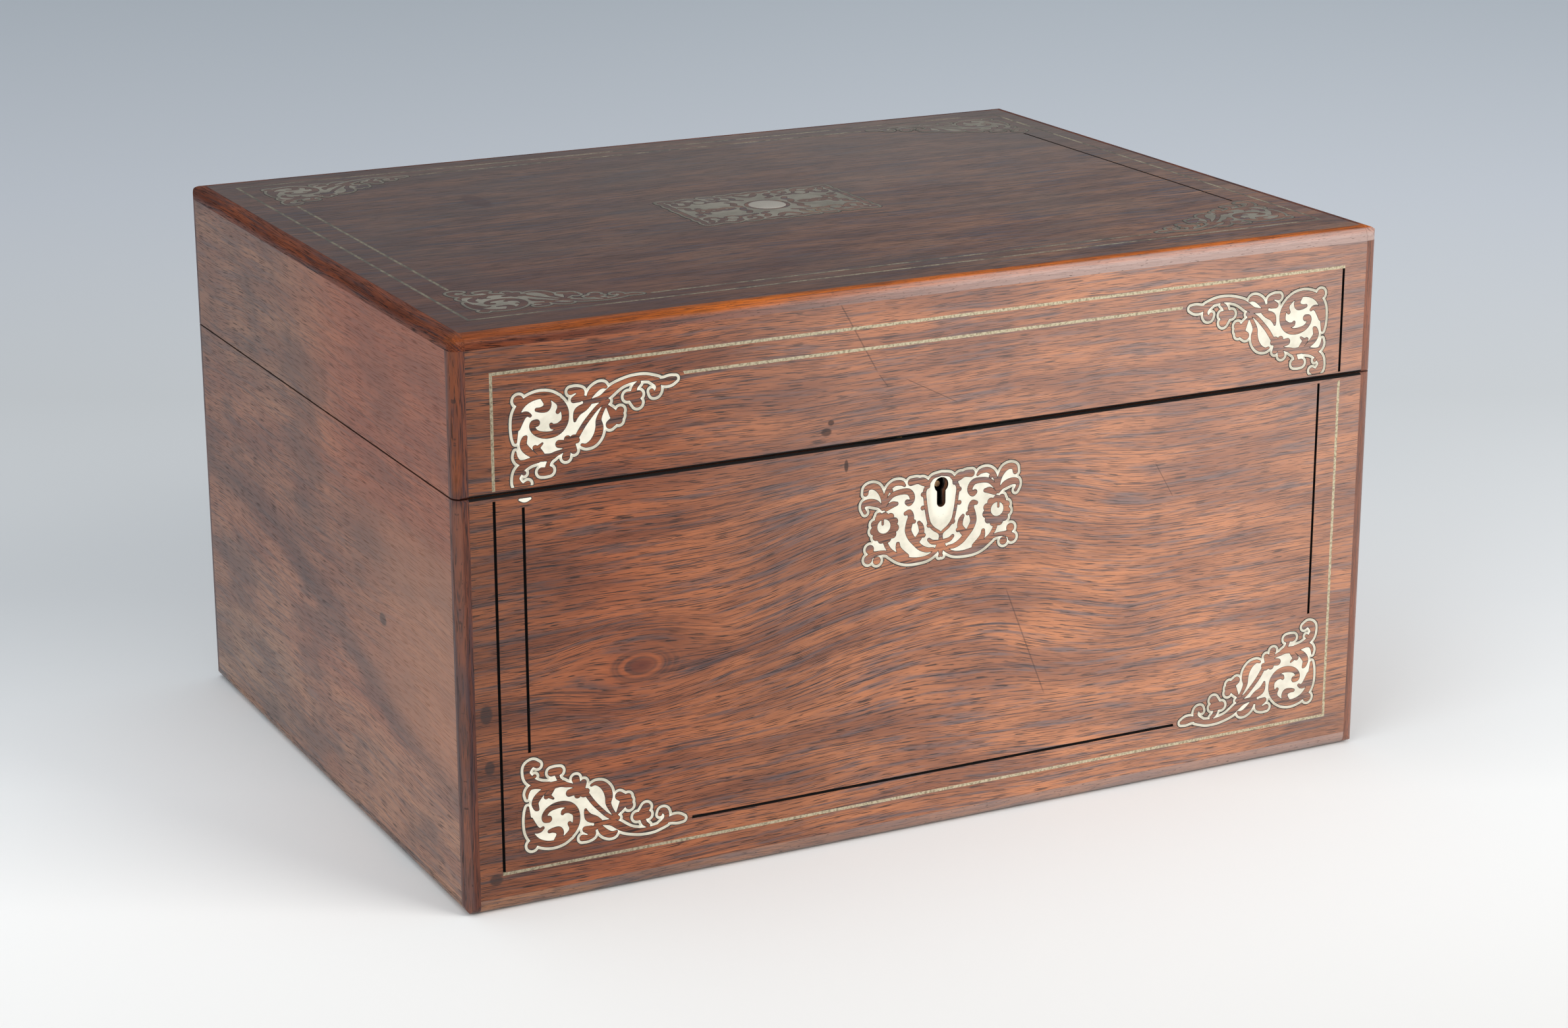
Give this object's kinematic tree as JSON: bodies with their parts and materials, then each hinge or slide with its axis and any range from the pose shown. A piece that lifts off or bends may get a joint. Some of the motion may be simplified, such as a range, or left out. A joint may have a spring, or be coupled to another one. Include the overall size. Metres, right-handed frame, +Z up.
{
  "type": "vanity case",
  "caption": "Rosewood vanity case with pierced pearl corner inlay and escutcheon, hinged lid with a mirror, box lock and a lift-out tray of lidded jars.",
  "frame": {"origin": "middle of the underside, on the surface that the case stands on", "axes": "+X to the right along the front, +Y to the back, +Z up"},
  "size_m": [0.305, 0.2306, 0.1689],
  "materials": {
    "rosewood_veneer": "waxed rosewood veneer, dark straight figure",
    "top_veneer": "dull, faded rosewood veneer",
    "rosewood_edging": "rubbed solid rosewood",
    "rosewood_solid": "polished solid rosewood",
    "carcass": "plain mahogany",
    "pearl": "mother-of-pearl, polished and slightly yellowed",
    "pearl_plate": "plain white pearl",
    "pewter": "dull white metal string",
    "brass": "aged brass",
    "steel": "plain steel wire",
    "velvet": "dark red cotton velvet on card",
    "mirror": "silvered plate glass",
    "glass": "clear cut glass",
    "silver_plate": "silver plate, lightly tarnished"
  },
  "bodies": {
    "base": {"base_front_board": "carcass", "base_back_board": "carcass", "base_side_boards": "carcass", "bottom_board": "carcass", "base_front_veneer": "rosewood_veneer", "base_back_veneer": "rosewood_veneer", "base_side_veneers": "rosewood_veneer", "base_rim_facing": "rosewood_solid", "base_bottom_edging": "rosewood_edging", "base_corner_edging": "rosewood_edging", "base_spandrels": "pearl", "spandrel_sliver": "pearl", "escutcheon_fret": "pearl", "keyhole_plate": "pearl_plate", "base_stringing": "pewter", "lock_case": "brass", "lock_pin": "brass", "base_hinge_leaves": "brass", "hinge_pins": "steel", "well_floor_lining": "velvet", "well_wall_lining": "velvet", "tray_bearers": "rosewood_solid"},
    "lid": {"lid_front_board": "carcass", "lid_back_board": "carcass", "lid_side_boards": "carcass", "lid_top_board": "carcass", "lid_top_veneer": "top_veneer", "lid_front_veneer": "rosewood_veneer", "lid_back_veneer": "rosewood_veneer", "lid_side_veneers": "rosewood_veneer", "lid_rim_facing": "rosewood_solid", "lid_top_edging": "rosewood_edging", "lid_corner_edging": "rosewood_edging", "lid_front_spandrels": "pearl", "lid_top_spandrels": "pearl", "top_cartouche": "pearl", "lid_stringing": "pewter", "link_plate": "brass", "lid_hinge_leaves": "brass", "lid_wall_lining": "velvet", "mirror_frame": "rosewood_solid", "mirror_glass": "mirror", "mirror_back": "carcass"},
    "bolt": {"lock_bolt": "brass"},
    "tray": {"tray_floor": "rosewood_solid", "tray_walls": "rosewood_solid", "tray_dividers": "rosewood_solid", "tray_velvet": "velvet"},
    "front_left_jar": {"front_left_jar": "glass"},
    "front_left_jar_lid": {"front_left_jar_lid": "silver_plate"},
    "front_right_jar": {"front_right_jar": "glass"},
    "front_right_jar_lid": {"front_right_jar_lid": "silver_plate"},
    "back_left_jar": {"back_left_jar": "glass"},
    "back_left_jar_lid": {"back_left_jar_lid": "silver_plate"},
    "back_right_jar": {"back_right_jar": "glass"},
    "back_right_jar_lid": {"back_right_jar_lid": "silver_plate"}
  },
  "joints": [
    {"name": "lid_hinge", "type": "hinge", "parent": "base", "child": "lid", "pos_m": [0, 0.1133, 0.1231], "axis": [-1, 0, 0], "range_deg": [0, 100]},
    {"name": "bolt_slide", "type": "slide", "parent": "base", "child": "bolt", "axis": [1, 0, 0], "range_m": [0, 0.004]},
    {"name": "tray_lift", "type": "slide", "parent": "base", "child": "tray", "axis": [0, 0, 1], "range_m": [0, 0.03]},
    {"name": "front_left_jar_lift", "type": "slide", "parent": "tray", "child": "front_left_jar", "axis": [0, 0, 1], "range_m": [0, 0.032]},
    {"name": "front_left_jar_lid_lift", "type": "slide", "parent": "front_left_jar", "child": "front_left_jar_lid", "axis": [0, 0, 1], "range_m": [0, 0.03]},
    {"name": "front_right_jar_lift", "type": "slide", "parent": "tray", "child": "front_right_jar", "axis": [0, 0, 1], "range_m": [0, 0.032]},
    {"name": "front_right_jar_lid_lift", "type": "slide", "parent": "front_right_jar", "child": "front_right_jar_lid", "axis": [0, 0, 1], "range_m": [0, 0.03]},
    {"name": "back_left_jar_lift", "type": "slide", "parent": "tray", "child": "back_left_jar", "axis": [0, 0, 1], "range_m": [0, 0.032]},
    {"name": "back_left_jar_lid_lift", "type": "slide", "parent": "back_left_jar", "child": "back_left_jar_lid", "axis": [0, 0, 1], "range_m": [0, 0.03]},
    {"name": "back_right_jar_lift", "type": "slide", "parent": "tray", "child": "back_right_jar", "axis": [0, 0, 1], "range_m": [0, 0.032]},
    {"name": "back_right_jar_lid_lift", "type": "slide", "parent": "back_right_jar", "child": "back_right_jar_lid", "axis": [0, 0, 1], "range_m": [0, 0.03]}
  ]
}
